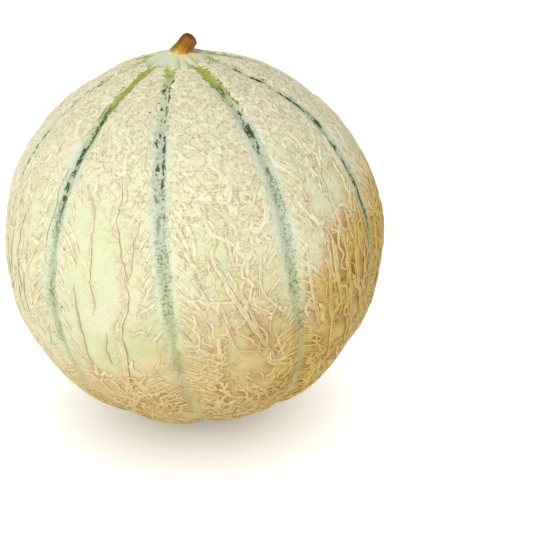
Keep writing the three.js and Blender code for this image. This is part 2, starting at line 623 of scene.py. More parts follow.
@dataclass(frozen=True)
class SkinPaint:
    """The colours of the skin, which the rind shows and the net's feet run into."""

    cream: Colour = tint(220, 217, 186)
    leaf: Colour = tint(208, 214, 172)
    straw: Colour = tint(216, 203, 158)
    ochre: Colour = tint(160, 116, 46)
    # warm tint: partly ripe colour, partly painted warm shade and reflected warm light on the +X side
    stain: Colour = tint(235, 207, 119)
    shoulder: Colour = tint(224, 216, 186)
    # painted shade: a slight neutral darkening multiplied in low down on the fruit
    low_shade: Colour = tint(243, 242, 239)
    halo: Colour = tint(212, 217, 192)
    band: Colour = tint(180, 190, 164)
    moss: Colour = tint(160, 166, 116)
    speck: Colour = tint(92, 112, 70)
    blot: Colour = tint(48, 70, 18)
    lime: Colour = tint(152, 166, 58)
    star: Colour = tint(214, 218, 190)
    olive: Colour = tint(96, 98, 34)
    collar: Colour = tint(222, 204, 116)
    blossom: Colour = tint(166, 136, 88)
    halo_half_width: float = 7 * MM
    band_half_width: float = 2.7 * MM
    speck_half_width: float = 3.6 * MM
    lime_half_width: float = 3.3 * MM
    blot_half_width: float = 1.05 * MM
    rim_offset: float = 2.1 * MM  # of the olive rims from the line of blots
    star_radius: float = 12 * MM
    collar_radius: float = 8.2 * MM
    twin_suture: int = 0  # its blots stand in two rows
    solid_suture: int = 9  # its blots are less broken
    faint_suture: int = 8  # its band hardly shows

    def ripeness_and_warm_shade(self, bench: Bench) -> Any:
        """How warm the skin's colour turns: on the side towards +X, and low down all round;
        partly ripening, partly painted warm shade and warm reflected light.

        Formula: the greater of two smooth rises along slanting axes, both moved by clouds.

        Args:
            bench: The material under construction.

        Returns:
            The share of ripening and painted warm shade, 0 to 1.
        """
        cloud = bench.scaled(bench.noise(bench.place(), 16 * MM, 4.0, 0.6), 34 * MM, -17 * MM)
        # painted warm shade and warm reflected light on the side towards +X, together with ripening there
        towards_shaded_side = bench.plus(bench.axis(0.84, -0.12, -0.52), cloud)
        ripe_and_shaded_side = bench.rise(towards_shaded_side, -15 * MM, 18 * MM)
        downwards = bench.plus(bench.axis(0.4, 0.0, -0.9), cloud)
        low = bench.rise(downwards, -78 * MM, -28 * MM, 0.75)
        return bench.number("MAXIMUM", ripe_and_shaded_side, low)

    def ripened_and_shaded(self, bench: Bench, colour: Any, share: float) -> Any:
        """A colour, warm-stained where the fruit is ripe and in painted warm shade, and darkened low down
        by painted shade.

        Formula: the colour times the stain, by ripeness_and_warm_shade, and times the low_shade tint,
        which is painted shade, by a rise towards the ground.

        Args:
            bench: The material under construction.
            colour: The colour of the unripe fruit.
            share: How much of the stain it takes.

        Returns:
            The ripened and shaded colour.
        """
        colour = bench.blend(bench.product(self.ripeness_and_warm_shade(bench), share), colour, self.stain, "MULTIPLY")
        # painted shade, darker towards the ground
        low = bench.rise(bench.axis(0, 0, 1), 98 * MM, 62 * MM)
        return bench.blend(low, colour, self.low_shade, "MULTIPLY")

    def wrinkle(self, bench: Bench) -> Any:
        """Thin winding lines: where cloudy noise passes its middle value.

        Args:
            bench: The material under construction.

        Returns:
            1 on a line, 0 beside it.
        """
        cloud = bench.noise(bench.place(), 3.6 * MM, 3.0, 0.6)
        off = bench.number("ABSOLUTE", bench.number("SUBTRACT", cloud, 0.5))
        return bench.rise(off, 0.035, 0.004)

    def ground(self, bench: Bench) -> Any:
        """Skin between the ridges, away from the sutures.

        Formula: cream and leaf green in clouds; straw where cork is near; ochre, partly ripe colour
        and partly painted warm shade, by the product of ripeness_and_warm_shade, nearness of cork
        and clouds; thin winding lines over all.

        Args:
            bench: The material under construction.

        Returns:
            Its colour.
        """
        place = bench.place()
        near = bench.mark("cork")
        ripeness_and_warm_shade = self.ripeness_and_warm_shade(bench)
        green = bench.rise(bench.noise(place, 18 * MM, 3.0), 0.38, 0.66)
        colour = bench.blend(green, self.cream, self.leaf)
        high = bench.rise(bench.mark("along"), 90 * MM, 54 * MM, 0.55)
        colour = bench.blend(high, colour, self.shoulder)
        aged = bench.rise(bench.mark("along"), 40 * MM, 100 * MM)
        stain = bench.product(near, bench.rise(bench.noise(place, 8 * MM, 3.0), 0.25, 0.6), aged)
        colour = bench.blend(stain, colour, self.straw)
        patches = bench.rise(bench.noise(place, 9 * MM, 3.0, 0.6), 0.4, 0.6)
        # ochre patches: partly ripe colour, partly painted warm shade on the +X side and low down
        ochre_ripe_and_shade = bench.product(ripeness_and_warm_shade, patches, bench.scaled(near, 0.7, 0.25))
        colour = bench.blend(ochre_ripe_and_shade, colour, self.ochre)
        lines = bench.product(self.wrinkle(bench), bench.scaled(near, 0.3, 0.12))
        return bench.blend(lines, colour, self.ochre)

    def painted(self, bench: Bench) -> Any:
        """The whole skin: ground, sutures, crown and blossom end.

        Formula: everything near a suture is a product of smooth rises of the distance across
        it, made ragged by noise, and of the distance along it.

        Args:
            bench: The material under construction.

        Returns:
            Its colour.
        """
        across = bench.mark("across")
        along = bench.mark("along")
        away = bench.mark("away")
        track = bench.vector(across, bench.number("MULTIPLY", along, 0.6), bench.mark("suture"))
        ragged = bench.scaled(bench.noise(track, 5 * MM, 4.0, 0.65), 6 * MM, -3 * MM)
        wide = bench.plus(away, ragged)
        begun = bench.rise(along, 26 * MM, 60 * MM)
        near = bench.rise(wide, self.halo_half_width, 1.6 * MM, 0.75)
        halo = bench.product(near, begun, bench.rise(along, 150 * MM, 96 * MM))
        halo = bench.product(halo, bench.scaled(self.ripeness_and_warm_shade(bench), -0.75, 1.0))
        faint = bench.on_suture(self.faint_suture)
        clear = bench.scaled(faint, -0.65, 1.0)
        colour = bench.blend(bench.product(halo, clear), self.ground(bench), self.halo)
        slender = bench.scaled(ragged, 0.5, away)
        slender = bench.scaled(begun, -1.2 * MM, slender)
        slender = bench.plus(slender, bench.rise(along, 96 * MM, 130 * MM, 1 * MM))
        fading = bench.plus(bench.rise(along, 186 * MM, 110 * MM, 0.45), 0.45)
        inside = bench.rise(slender, self.band_half_width, -1.0 * MM)
        tone = bench.blend(bench.rise(along, 84 * MM, 132 * MM), self.band, self.moss)
        colour = bench.blend(bench.product(inside, fading, clear), colour, tone)
        colour = self.specked(bench, colour, wide, along, track)
        colour = self.limed(bench, colour, slender, along)
        colour = self.blotted(bench, colour, across, along, track)
        kept_green = bench.scaled(inside, -0.6, 1.0)
        return self.ripened_and_shaded(bench, self.crowned(bench, colour, across, along), kept_green)

    def specked(self, bench: Bench, colour: Any, wide: Any, along: Any, track: Any) -> Any:
        """Fine green specks that fill the band from where the blots end to near the foot.

        Formula: fine noise past its middle, thicker in some clouds, inside the band.

        Args:
            bench: The material under construction.
            colour: The colour beneath.
            wide: Ragged distance from the suture.
            along: Distance from the crown.
            track: Coordinates that follow the suture.

        Returns:
            The colour with its specks.
        """
        begun = bench.rise(along, 36 * MM, 80 * MM)
        reach = bench.product(begun, bench.rise(along, 178 * MM, 120 * MM))
        inside = bench.rise(wide, self.speck_half_width, 1.0 * MM)
        cloud = bench.scaled(bench.noise(track, 9 * MM, 2.0), 0.3, -0.15)
        grain = bench.plus(bench.noise(bench.place(), 1.0 * MM, 3.0, 0.7), cloud)
        specks = bench.product(bench.rise(grain, 0.48, 0.64), inside, reach, 0.8)
        return bench.blend(specks, colour, self.speck)

    def limed(self, bench: Bench, colour: Any, slender: Any, along: Any) -> Any:
        """The lime-coloured line that runs down from the crown and slims as it goes.

        Args:
            bench: The material under construction.
            colour: The colour beneath.
            slender: Slightly ragged distance from the suture.
            along: Distance from the crown.

        Returns:
            The colour with its line.
        """
        slim = bench.rise(along, 10 * MM, 50 * MM, 0.8 * MM)
        inside = bench.rise(bench.plus(slender, slim), self.lime_half_width, 1.5 * MM)
        return bench.blend(bench.product(inside, bench.mark("lime"), 0.95), colour, self.lime)

    def blotted(self, bench: Bench, colour: Any, across: Any, along: Any, track: Any) -> Any:
        """Dark green marks along the upper suture, in one broken line or in two rows.

        Formula: a line where the distance across, swayed by noise, is near 0.4 mm to either
        side, or near 1.1 mm on the suture with two rows; broken by noise that is stretched
        along it, and held back where the suture is bright lime. Olive rims run outside it.

        Args:
            bench: The material under construction.
            colour: The colour beneath.
            across: Signed distance from the suture.
            along: Distance from the crown.
            track: Coordinates that follow the suture.

        Returns:
            The colour with its marks.
        """
        sway = bench.scaled(bench.noise(track, 3.4 * MM, 3.0, 0.65), 3.4 * MM, -1.7 * MM)
        away = bench.number("ABSOLUTE", bench.plus(across, sway))
        twin = bench.on_suture(self.twin_suture)
        row = bench.number("SUBTRACT", away, bench.scaled(twin, 0.7 * MM, 0.4 * MM))
        line = bench.rise(bench.number("ABSOLUTE", row), self.blot_half_width, 0.35 * MM)
        line = bench.product(line, bench.rise(bench.mark("away"), 5 * MM, 4 * MM))
        solid = bench.number("MULTIPLY", bench.on_suture(self.solid_suture), 0.03)
        solid = bench.scaled(twin, -0.025, solid)
        grain = bench.plus(bench.noise(track, 2.4 * MM, 3.0, 0.7), solid)
        broken = bench.rise(grain, 0.47, 0.54)
        bright = bench.number("SUBTRACT", 1.0, bench.rise(bench.mark("lime"), 0.55, 1.0, 0.75))
        upper = bench.product(bench.rise(along, 14 * MM, 26 * MM), bench.mark("blots"), bright)
        colour = bench.blend(bench.product(line, broken, upper, 0.95), colour, self.blot)
        beside = bench.number("ABSOLUTE", bench.number("SUBTRACT", away, self.rim_offset))
        rim = bench.rise(beside, 0.7 * MM, 0.2 * MM)
        rim = bench.product(rim, bench.rise(bench.mark("away"), 5 * MM, 4 * MM))
        rims = bench.product(rim, broken, bench.rise(along, 14 * MM, 22 * MM))
        rims = bench.product(rims, bench.rise(along, 58 * MM, 34 * MM))
        return bench.blend(bench.product(rims, 0.9), colour, self.olive)

    def crowned(self, bench: Bench, colour: Any, across: Any, along: Any) -> Any:
        """The smooth pale star round the stem, and the corky spot at the blossom end.

        Args:
            bench: The material under construction.
            colour: The colour beneath.
            across: Signed distance from the nearest suture.
            along: Distance from the crown.

        Returns:
            The colour with both.
        """
        arm = bench.rise(bench.mark("away"), 2.4 * MM, 0.2 * MM, 2 * MM)
        cloud = bench.scaled(bench.noise(bench.place(), 3 * MM, 3.0), 6 * MM, -3 * MM)
        frontal = bench.scaled(bench.axis(0, -1, 0), -0.24, cloud)
        reach = bench.number("SUBTRACT", bench.plus(along, frontal), arm)
        strokes = bench.rise(bench.noise(bench.place(), 1.5 * MM, 3.0, 0.65), 0.54, 0.62)
        ring = bench.product(strokes, bench.rise(reach, 9 * MM, 11 * MM))
        ring = bench.product(ring, bench.rise(reach, 17 * MM, 12 * MM), 0.7)
        colour = bench.blend(ring, colour, self.olive)
        colour = bench.blend(bench.rise(reach, self.star_radius, 8 * MM), colour, self.star)
        ragged = bench.scaled(cloud, 0.4, bench.mark("stem"))
        tinge = bench.rise(ragged, self.collar_radius, 4.6 * MM, 0.35)
        colour = bench.blend(tinge, colour, self.collar)
        fan = bench.number("DIVIDE", across, bench.plus(along, 1 * MM))
        rays = bench.noise(bench.vector(fan, bench.mark("suture"), 0.0), 0.12, 2.0)
        streaks = bench.product(bench.rise(along, 6 * MM, 11 * MM), bench.rise(along, 20 * MM, 12 * MM))
        streaks = bench.product(streaks, 0.6)
        colour = bench.blend(bench.product(bench.rise(rays, 0.44, 0.66), streaks), colour, self.lime)
        return bench.blend(bench.rise(along, 224 * MM, 231 * MM, 0.8), colour, self.blossom)


@dataclass(frozen=True)
class RindFinish:
    """Smooth, slightly waxy skin."""

    paint: SkinPaint = SkinPaint()
    roughness: float = 0.46

    def material(self) -> bpy.types.Material:
        """Builds the finish.

        Returns:
            The material.
        """
        bench = Bench("rind_skin")
        place = bench.place()
        pores = bench.bump(bench.noise(place, 0.7 * MM, 2.0), 0.06 * MM)
        relief = bench.bump(bench.noise(place, 2.6 * MM, 2.0), 0.2 * MM, pores)
        lines = bench.product(self.paint.wrinkle(bench), bench.mark("cork"))
        return bench.surface(
            {
                "Base Color": self.paint.painted(bench),
                "Roughness": self.roughness,
                "Specular IOR Level": 0.25,
                "Normal": bench.bump(lines, -0.16 * MM, relief),
                "Subsurface Weight": 0.08,
                "Subsurface Radius": (0.6, 0.5, 0.25),
                "Subsurface Scale": 2 * MM,
            }
        )


@dataclass(frozen=True)
class CorkFinish:
    """The dry, raised cork of the net: pale on its back, tan at its foot, darkened there too by painted
    shade.
    """

    paint: SkinPaint = SkinPaint()
    pale: Colour = tint(229, 223, 191)
    rosy: Colour = tint(221, 210, 177)
    # tan of the cork's foot, which also serves as painted shade where a ridge meets the skin
    foot: Colour = tint(152, 124, 60)
    groove: Colour = tint(208, 193, 162)
    speck: Colour = tint(104, 70, 34)
    roughness: float = 0.75

    def material(self) -> bpy.types.Material:
        """Builds the finish.

        Returns:
            The material.
        """
        bench = Bench("net_cork")
        place = bench.place()
        cloud = bench.noise(place, 4.2 * MM, 3.0, 0.6)
        cloud = bench.number("SUBTRACT", cloud, 0.5)
        mottled = bench.scaled(cloud, 1.8, bench.mark("tone"))
        cork = bench.blend(bench.rise(mottled, 0.2, 1.0), self.pale, self.rosy)
        cork = bench.blend(bench.product(bench.mark("groove"), 0.7), cork, self.groove)
        further_down = bench.rise(bench.mark("along"), 40 * MM, 110 * MM)
        edge = bench.rise(bench.mark("edge"), 0.62, 0.95)
        # painted shade at the ridges' feet over their own tan edge, stronger further down the fruit
        foot_tan_and_shade = bench.product(edge, bench.scaled(further_down, 0.72, 0.14))
        cork = bench.blend(foot_tan_and_shade, cork, self.foot)
        cork = bench.blend(bench.product(self.paint.wrinkle(bench), 0.2), cork, self.foot)
        beside = bench.rise(bench.mark("away"), 7 * MM, 2 * MM)
        beside = bench.product(beside, bench.rise(bench.mark("along"), 30 * MM, 60 * MM))
        cool = bench.scaled(self.paint.ripeness_and_warm_shade(bench), -0.5, 0.55)
        cork = bench.blend(bench.product(beside, cool), cork, self.paint.halo)
        cork = self.paint.ripened_and_shaded(bench, cork, 0.9)
        gap, own = bench.cells(place, 2.1 * MM)
        specks = bench.product(bench.rise(gap, 0.26, 0.16), bench.rise(own, 0.955, 0.97))
        cork = bench.blend(bench.product(specks, 0.8), cork, self.speck)
        grain = bench.bump(bench.noise(place, 0.4 * MM, 2.0, 0.6), 0.05 * MM)
        wrinkled = bench.bump(self.paint.wrinkle(bench), -0.12 * MM, grain)
        return bench.surface({"Base Color": cork, "Roughness": self.roughness, "Normal": wrinkled})


@dataclass
class Rind:
    """The whole skin of the fruit as one closed surface, with columns gathered at the sutures."""

    skin: Skin
    finish: RindFinish = RindFinish()
    columns_per_lobe: int = 40
    rings: int = 244
    gather: float = 0.45
    collar_right: float = 0.9 * MM  # the yellow tinge round the stem lies off its foot by this
    collar_back: float = -2.1 * MM

    def longitudes(self) -> Array:
        """Longitude of each column.

        Formula: within a lobe, t - gather sin(2 pi t) / (2 pi) brings columns to its sutures.

        Returns:
            One longitude per column, from the first suture round to it again.
        """
        sutures = self.skin.sutures
        even = np.arange(sutures.count * self.columns_per_lobe) / self.columns_per_lobe
        inside = even - np.floor(even)
        gathered = inside - self.gather * np.sin(2.0 * math.pi * inside) / (2.0 * math.pi)
        return sutures.first + sutures.step * (np.floor(even) + gathered)

    def surface(self, cork: Array) -> Mesh:
        """The skin as a grid of longitude and fall, closed by a fan at either pole.

        Args:
            cork: Longitude, fall, half width and spacing of points along the net's ridges.

        Returns:
            The surface with its marks.
        """
        falls = math.pi * np.arange(1, self.rings) / self.rings
        longitude, fall = np.meshgrid(self.longitudes(), falls)
        poles = self.skin.point(np.zeros(2), np.array([0.0, math.pi]))
        growth, sutures = self.skin.growth, self.skin.sutures
        across, index = sutures.nearest(longitude, fall)
        along = growth.equator * fall
        lime_end = np.take(sutures.lime_reach, index.astype(int)) * MM
        mark_end = np.take(sutures.mark_reach, index.astype(int)) * MM
        stem = self.skin.from_stem(longitude, fall, self.collar_right, self.collar_back)
        marks = {
            "across": (across, [0.0, 0.0]),
            "away": (np.abs(across), [0.0, 0.0]),
            "along": (along, [0.0, growth.equator * math.pi]),
            "lime": (smooth_step(along / lime_end, 1.5, 0.6), [1.0, 0.0]),
            "blots": (smooth_step(along / mark_end, 1.08, 0.72), [1.0, 0.0]),
            "stem": (stem, [0.0, 1.0]),
            "suture": (index, [0.0, 0.0]),
            "cork": (self.nearness(cork, falls), [0.0, 1.0]),
        }
        return Mesh.closed(self.skin.point(longitude, fall), poles, 1.0 - falls / math.pi, False, marks)

    def nearness(self, cork: Array, falls: Array) -> Array:
        """How near cork is to each vertex of the grid, 0 to 1.

        Formula: every point of the net adds its ridge's area to the nearest vertex; the sum,
        divided by the vertex's own area, is blurred twice with its neighbours.

        Args:
            cork: Longitude, fall, half width and spacing of points along the net's ridges.
            falls: Fall of each row of the grid.

        Returns:
            One value for each row and column.
        """
        longitudes = self.longitudes()
        first = longitudes[0]
        column = np.searchsorted(longitudes, (cork[0] - first) % (2.0 * math.pi) + first) - 1
        row = np.clip(np.round(cork[1] / math.pi * self.rings).astype(int) - 1, 0, len(falls) - 1)
        total = np.zeros((len(falls), len(longitudes)))
        np.add.at(total, (row, column), 2.0 * cork[2] * cork[3])
        width = self.skin.growth.equator * np.diff(np.append(longitudes, first + 2.0 * math.pi))
        height = self.skin.growth.equator * math.pi / self.rings
        total /= np.maximum(np.sin(falls)[:, None] * width * height, 0.1 * MM * MM)
        for _ in range(2):
            total = (np.roll(total, 1, 1) + 2.0 * total + np.roll(total, -1, 1)) / 4.0
            total = (np.roll(total, 1, 0) + 2.0 * total + np.roll(total, -1, 0)) / 4.0
        return np.clip(total, 0.0, 1.0)

    def build(self, cork: Array) -> None:
        """Makes the rind, which stands for the plain fruit.

        Args:
            cork: Longitude, fall, half width and spacing of points along the net's ridges.
        """
        made = self.surface(cork).piece("rind", self.finish.material())
        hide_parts("fruit")


class Section(Enum):
    """Cross-sections of a ridge, as shares of its half width and of its height."""

    ROUND = ((-1.0, -0.5), (-0.66, 0.62), (0.0, 1.0), (0.66, 0.62), (1.0, -0.5))
    GROOVED = ((-1.0, -0.4), (-0.8, 0.55), (-0.44, 1.0), (0.0, 0.62), (0.44, 1.0), (0.8, 0.55), (1.0, -0.4))


@dataclass
class Ridges:
    """Many ridges of one kind on one lobe, as paths with the same number of steps.

    x is the distance from the lobe's middle, y the distance from the crown, both on the skin.
    """

    x: Array
    y: Array
    half_width: Array
    height: Array
    section: Section = Section.ROUND

    @classmethod
    def along(cls, x: Array, y: Array) -> "Ridges":
        """Ridges with no width yet."""
        return cls(x, y, np.zeros(x.shape), np.zeros(x.shape))

    def kept(self, chosen: Array) -> "Ridges":
        """Only the chosen ridges."""
        return Ridges(
            self.x[chosen], self.y[chosen], self.half_width[chosen], self.height[chosen], self.section
        )


@dataclass(frozen=True)
class Split:
    """One long split of the skin, healed with cork, down a lobe."""

    share: float  # place across the lobe at its upper end, -1 at one suture and 1 at the next
    top: float  # fall at its upper end, in degrees
    end_share: float  # place across the lobe at its lower end
    bottom: float  # fall at its lower end, in degrees
    half_width: float = 0.8 * MM


def splits(*rows: tuple[float, ...]) -> tuple[Split, ...]:
    """Splits from rows of their own numbers, with the half width in millimetres."""
    return tuple(Split(*row[:-1], row[-1] * MM) for row in rows)


@dataclass(frozen=True)
class Habit:
    """How one lobe's net has grown."""

    openness: float = 0.3  # share of the net that is missing low on its middle
    shoulder_end: float = 70.0  # fall at which the fine web gives way, in degrees
    splits: tuple[Split, ...] = ()
    random_splits: int = 4
    stretch: float = 2.0  # how much longer than wide the cells of its flank are
    crown: float = 9.5 * MM  # distance from the crown at which its net starts
    slant: float = 0.0  # how far the web drifts towards the next suture per distance down


@dataclass
class CorkNet:
    """The raised net of cork over the ten lobes, one piece for each lobe."""

    skin: Skin
    finish: CorkFinish = CorkFinish()
    seed: int = 4
    web_top: float = 8 * MM  # distances from the crown at which its webs and ribs start and end
    flank_end: float = 176 * MM
    foot_top: float = 140 * MM
    rib_band: tuple[float, float] = (66 * MM, 172 * MM)
    rib_pitch: float = 2.1 * MM
    rib_reach: float = 12 * MM
    fine_size: tuple[float, float] = (0.74 * MM, 0.2 * MM)  # half width and height, kind by kind
    finer_size: tuple[float, float] = (0.32 * MM, 0.2 * MM)
    coarse_size: tuple[float, float] = (0.66 * MM, 0.38 * MM)
    slight_size: tuple[float, float] = (0.38 * MM, 0.2 * MM)
    foot_size: tuple[float, float] = (0.62 * MM, 0.4 * MM)
    blossom_size: tuple[float, float] = (0.42 * MM, 0.26 * MM)
    rib_size: tuple[float, float] = (0.5 * MM, 0.3 * MM)
    traces: list[Array] = field(default_factory=list)

    @staticmethod
    def habits() -> list[Habit]:
        """How the net has grown on each lobe.

        Returns:
            The habits, counted from the first suture towards +Y.
        """
        front = splits(
            (-0.71, 71, -0.36, 87, 0.55),
            (-0.31, 72, 0.42, 105, 0.95),
            (0.02, 66, 0.03, 79, 0.6),
            (-0.24, 86, -0.12, 97, 0.6),
            (-0.54, 89, -0.38, 97, 0.6),
            (-0.9, 93, -0.55, 103, 0.6),
            (0.08, 84, 0.54, 112, 0.8),
            (0.68, 89, 0.42, 100, 0.55),
            (0.45, 78, 0.4, 88, 0.5),
        )
        right = splits(
            (0.13, 66, 0.06, 81, 0.7),
            (-0.22, 74, -0.12, 103, 0.9),
            (0.44, 76, 0.24, 98, 0.9),
            (0.64, 84, 0.4, 104, 0.8),
            (-0.5, 58, -0.41, 73, 0.6),
            (0.1, 51, -0.02, 68, 0.7),
            (0.72, 66, 0.7, 92, 0.7),
            (0.02, 86, 0.06, 108, 0.7),
            (-0.4, 97, -0.3, 114, 0.8),
        )
        beyond = splits(
            (-0.4, 55, -0.24, 69, 0.6),
            (-0.24, 66, -0.5, 100, 0.7),
            (0.2, 57, -0.05, 84, 0.6),
            (-0.04, 80, 0.28, 98, 0.7),
            (0.35, 74, 0.2, 92, 0.5),
            (-0.7, 60, -0.62, 104, 0.6),
        )
        left = splits(
            (0.25, 51, 0.19, 66, 0.95),
            (0.2, 62, 0.42, 80, 0.95),
            (0.64, 62, 0.42, 79, 0.8),
            (0.42, 76, 0.04, 121, 1.25),
            (-0.45, 54, -0.2, 63, 0.55),
            (-0.2, 60, -0.18, 90, 0.65),
            (-0.5, 82, -0.4, 112, 0.5),
            (-0.02, 95, -0.05, 106, 0.4),
        )
        return [
            Habit(0.15, 70, front, 0, 2.1, 12.5 * MM, 0.32),
            Habit(0.2, 58, right, 5, 2.6, slant=0.1),
            Habit(0.2, 50, (), 12, 2.8),
            Habit(0.4, 66, (), 5, 2.0),
            Habit(0.2, 74, (), 4, 1.8),
            Habit(0.5, 60, (), 6, 2.2),
            Habit(0.3, 70, (), 5, 2.0),
            Habit(0.4, 60, (), 6, 2.2),
            Habit(0.3, 54, beyond, 3, 2.4, slant=-0.15),
            Habit(0.96, 52, left, 0, 2.0, 12 * MM),
        ]

    def half_room(self, y: Array) -> Array:
        """Half of the lobe's width that the net may cover, short of the bare suture bands.

        Args:
            y: Distance from the crown.

        Returns:
            One half width for each distance.
        """
        bare = 1.2 * MM + 1.5 * MM * smooth_step(y, 26 * MM, 74 * MM)
        bare = bare - 1.7 * MM * smooth_step(y, 96 * MM, 140 * MM)
        return np.maximum(self.skin.sutures.half_lobe(y / self.skin.growth.equator) - bare, 0.0)

    def web(
        self,
        rng: np.random.Generator,
        top: float,
        bottom: float,
        cell: float,
        stretch: float,
        steps: int,
        slant: float = 0.0,
        links: float = 1.0,
    ) -> Ridges:
        """A net of irregular six-sided cells over a band of the lobe.

        Formula: the nodes of a honeycomb, laid out as a brick wall whose rows are 1.5 sides
        apart with every other node shifted by a sixth of that; moved by slow waves, which
        bend whole rows of cells, and a little at random; each side bulges by sines.

        Args:
            rng: Source of chance.
            top: Distance from the crown at which it starts.
            bottom: Distance at which it ends.
            cell: Distance between the cells' middles.
            stretch: How much longer than wide the cells are.
            steps: Points along each side.
            slant: How far it drifts aside per distance down.
            links: Share of the sides that run across it that are kept.

        Returns:
            Its ridges, with no width yet.
        """
        pitch = 1.5 * cell / math.sqrt(3.0) * stretch
        widest = self.skin.sutures.half_lobe(np.array(math.pi / 2))
        wide = int((4 * widest + 2 * abs(slant) * (bottom - top)) / cell) + 8
        i, j = np.meshgrid(np.arange(wide), np.arange(int((bottom - top) / pitch) + 2))
        odd = (i + j) % 2
        nodes = np.stack([(i - i.max() / 2) * cell / 2, top + (j + (1 - 2 * odd) / 6) * pitch], -1)
        drift = np.stack([waves(rng, nodes, 5.5 * cell), waves(rng, nodes, 5.5 * cell)], -1)
        loose = rng.uniform(-0.2, 0.2, nodes.shape)
        nodes = nodes + (0.75 * drift + loose) * cell * np.array([1.0, stretch])
        nodes[..., 0] += slant * (nodes[..., 1] - (top + bottom) / 2)
        across = np.stack([nodes[:, :-1], nodes[:, 1:]], -2).reshape(-1, 2, 2)
        across = across[rng.random(len(across)) < links]
        down = np.stack([nodes[:-1], nodes[1:]], -2)[odd[:-1] == 0].reshape(-1, 2, 2)
        return self.strung(rng, np.concatenate([across, down]), steps)

    @staticmethod
    def strung(rng: np.random.Generator, ends: Array, steps: int) -> Ridges:
        """Bulging ridges between pairs of points.

        Formula: a straight run from -0.05 to 1.05 of the way, plus at right angles to it a
        random share of its length times sin(pi t), and a smaller one times sin(2 pi t).

        Args:
            rng: Source of chance.
            ends: The pairs of points, as pairs x ends x coordinates.
            steps: Points along each ridge.

        Returns:
            The ridges, with no width yet.
        """
        t = np.linspace(-0.05, 1.05, steps)
        run = ends[:, 1] - ends[:, 0]
        turned = np.stack([-run[:, 1], run[:, 0]], -1)
        bow = rng.normal(0.0, 0.14, (len(ends), 1)) * np.sin(math.pi * t)
        curl = rng.normal(0.0, 0.08, (len(ends), 1)) * np.sin(2.0 * math.pi * t)
        path = ends[:, None, 0] + run[:, None] * t[:, None] + turned[:, None] * (bow + curl)[..., None]
        return Ridges.along(path[..., 0], path[..., 1])

    def thinned(self, rng: np.random.Generator, ridges: Ridges, habit: Habit, chance: Array) -> Ridges:
        """Drops ridges that leave the lobe or enter the crown's star, and others by chance.

        Args:
            rng: Source of chance.
            ridges: The ridges.
            habit: How the lobe's net has grown.
            chance: How likely each one is to stay.

        Returns:
            Those that stay.
        """
        room = self.half_room(ridges.y)
        inside = (np.abs(ridges.x) < room).all(1)
        reach = math.pi * self.skin.growth.equator
        star = habit.crown + 4 * MM * np.exp(-(((room - np.abs(ridges.x)) / (1.6 * MM)) ** 2))
        inside &= (ridges.y > star).all(1) & (ridges.y < reach - 6 * MM).all(1)
        return ridges.kept(inside & (rng.random(len(ridges.x)) < chance))

    @staticmethod
    def sized(
        rng: np.random.Generator, ridges: Ridges, half_width: float, height: float, spread: float = 0.28
    ) -> Ridges:
        """Gives ridges their width and height, each a little different and slimmer at its ends.

        Formula: a ridge's own size is e to a normal chance; along it the size swells by a
        sine, and eases off at both ends by the square root of half a sine.

        Args:
            rng: Source of chance.
            ridges: The ridges.
            half_width: Their usual half width.
            height: Their usual height.
            spread: How much their own sizes differ.

        Returns:
            The same ridges, with their sizes.
        """
        count, steps = ridges.x.shape
        t = np.linspace(0.0, 1.0, steps)
        own = np.exp(rng.normal(0.0, spread, (count, 1)))
        pulse = rng.uniform(4, 9, (count, 1)) * math.pi * t + rng.uniform(0, 6, (count, 1))
        swell = 1.0 + 0.14 * np.sin(pulse)
        bulge = np.sin(math.pi * t) ** 0.5
        ridges.half_width = half_width * own * swell * (0.7 + 0.3 * bulge)
        ridges.height = height * np.sqrt(own) * swell * (0.8 + 0.2 * bulge)
        return ridges

    def ribs(
        self, rng: np.random.Generator, top: float, bottom: float, pitch: float, reach: float
    ) -> list[Ridges]:
        """Ribs that leave both sutures inwards and down, side by side, and the links between them.

        Formula: a rib starts at the bare band's edge and climbs from it by a slope that eases
        from 60 degrees high on the fruit to 12 degrees near its foot, with slow waves shared
        by its neighbours, and steepens with the square of its length. A link joins two
        neighbours at nearly the same share of their length.

        Args:
            rng: Source of chance.
            top: Distance from the crown at which they start.
            bottom: Distance at which they end.
            pitch: Distance between two ribs.
            reach: Length of the longest.

        Returns:
            Ribs and links, with no width yet.
        """
        count = int((bottom - top) / pitch)
        side = np.array([-1.0, 1.0])[:, None, None]
        start = top + pitch * (np.arange(count) + rng.uniform(-0.25, 0.25, (2, count)))[..., None]
        keys = np.stack([start[..., 0], 40 * MM * side[..., 0] + 0 * start[..., 0]], -1)
        slope = np.radians(60 - 48 * smooth_step(start, 74 * MM, 146 * MM))
        slope = slope + 0.22 * waves(rng, keys, 16 * MM)[..., None]
        inset = rng.uniform(0.0, 2.2, start.shape) * MM
        long = reach * (0.6 + 0.3 * waves(rng, keys, 22 * MM)[..., None])
        long = long * rng.uniform(0.7, 1.15, start.shape)
        room = self.half_room(start)
        long = np.clip(long, 2.5 * MM, 0.85 * room)
        phase = rng.uniform(0.0, 0.8, start.shape)

        def placed(t: Array) -> Array:
            """Points at shares of the ribs' length, as x and y.

            Args:
                t: The shares, 0 at the suture and 1 at the rib's end.

            Returns:
                One point for each share.
            """
            wiggle = 0.45 * MM * np.sin(7.0 * t + 9.0 * phase) * t
            inwards = long * t * np.cos(slope) + inset
            down = long * (t * np.sin(slope) + 0.22 * t * t)
            return np.stack([side * (room - inwards), start + down + wiggle], -1)

        body = placed(np.linspace(0.0, 1.0, 10)).reshape(-1, 10, 2)
        at = np.tile(rng.uniform(0.1, 0.9, (1, 1, 3)), (2, count, 1))
        at = at + rng.uniform(-0.12, 0.12, (2, count, 3))
        ends = np.stack([placed(at)[:, :-1], placed(at + rng.uniform(-0.1, 0.1, at.shape))[:, 1:]], -2)
        links = self.strung(rng, ends.reshape(-1, 2, 2), 5)
        return [Ridges.along(body[..., 0], body[..., 1]), links]

